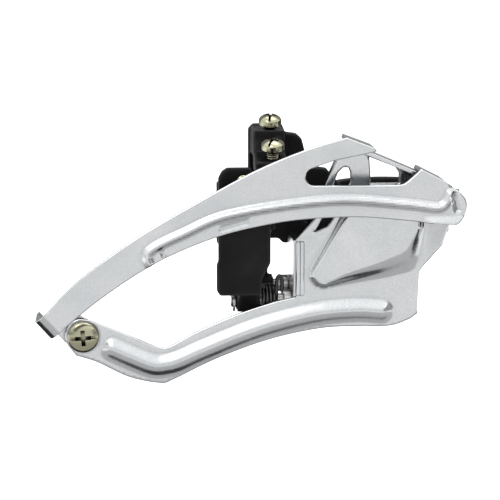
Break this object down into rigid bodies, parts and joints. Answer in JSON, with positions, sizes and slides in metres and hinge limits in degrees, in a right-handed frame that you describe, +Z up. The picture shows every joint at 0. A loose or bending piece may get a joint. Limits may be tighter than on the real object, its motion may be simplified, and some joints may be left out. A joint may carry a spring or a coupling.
{
  "type": "front derailleur",
  "caption": "Band-clamp front derailleur with a stamped chain cage on a sprung parallelogram linkage and two limit screws.",
  "frame": {"origin": "on the seat tube's axis, at the middle of the clamp's height", "axes": "+X forward along the bicycle, +Y away from the drive side, +Z up along the seat tube"},
  "size_m": [0.1294, 0.0682, 0.0769],
  "materials": {
    "chrome_sheet": "satin chrome-plated pressed steel",
    "black_paint": "semi-gloss black",
    "zinc_screw": "yellowish zinc plate",
    "pin_steel": "bare turned steel",
    "bush_plastic": "matt",
    "spring_steel": "black oxide"
  },
  "bodies": {
    "bracket": {"bracket_body": "black_paint", "outer_link_pin": "pin_steel", "inner_link_pin": "pin_steel", "outer_link_pin_clip": "pin_steel", "inner_link_pin_clip": "pin_steel", "clamp_hinge_pin": "pin_steel"},
    "clamp_band": {"clamp_band": "black_paint", "clamp_bolt": "zinc_screw"},
    "high_limit_screw": {"high_limit_screw": "zinc_screw"},
    "low_limit_screw": {"low_limit_screw": "zinc_screw"},
    "outer_link": {"outer_link": "black_paint", "outer_top_bush": "bush_plastic", "outer_low_bush": "bush_plastic", "return_spring": "spring_steel", "cable_anchor_bolt": "zinc_screw", "cable_washer": "pin_steel"},
    "inner_link": {"inner_link": "black_paint", "inner_top_bush": "bush_plastic", "inner_low_bush": "bush_plastic"},
    "cage": {"outer_cage_plate": "chrome_sheet", "inner_cage_plate": "chrome_sheet", "tail_screw": "zinc_screw", "outer_cage_pin": "pin_steel", "inner_cage_pin": "pin_steel", "outer_cage_pin_clip": "pin_steel", "inner_cage_pin_clip": "pin_steel"}
  },
  "joints": [
    {"name": "link_swing", "type": "hinge", "parent": "bracket", "child": "outer_link", "pos_m": [-0.045, -0.033, 0.006], "axis": [-1, 0, 0], "range_deg": [0, 40], "stiffness_Nm_per_rad": 0.4, "springref_deg": -34.38},
    {"name": "inner_link_swing", "type": "hinge", "parent": "bracket", "child": "inner_link", "pos_m": [-0.0382, -0.022, 0.0083], "axis": [-1, 0, 0], "range_deg": [0, 40]},
    {"name": "cage_pivot", "type": "hinge", "parent": "outer_link", "child": "cage", "pos_m": [-0.045, -0.029, -0.0227], "axis": [-1, 0, 0], "range_deg": [-40, 0]},
    {"name": "clamp_hinge", "type": "hinge", "parent": "bracket", "child": "clamp_band", "pos_m": [0.0205, 0, 0], "axis": [0, 0, -1], "range_deg": [0, 100]},
    {"name": "high_limit_turn", "type": "hinge", "parent": "bracket", "child": "high_limit_screw", "pos_m": [-0.0378, -0.0274, 0.0124], "axis": [0, -0.2588, 0.9659], "continuous": true},
    {"name": "low_limit_turn", "type": "hinge", "parent": "bracket", "child": "low_limit_screw", "pos_m": [-0.0378, -0.0169, 0.0166], "axis": [0, -0.2588, 0.9659], "continuous": true}
  ],
  "couplings": [
    {"joint": "inner_link_swing", "follows": "link_swing", "ratio": 1},
    {"joint": "cage_pivot", "follows": "link_swing", "ratio": -1}
  ]
}
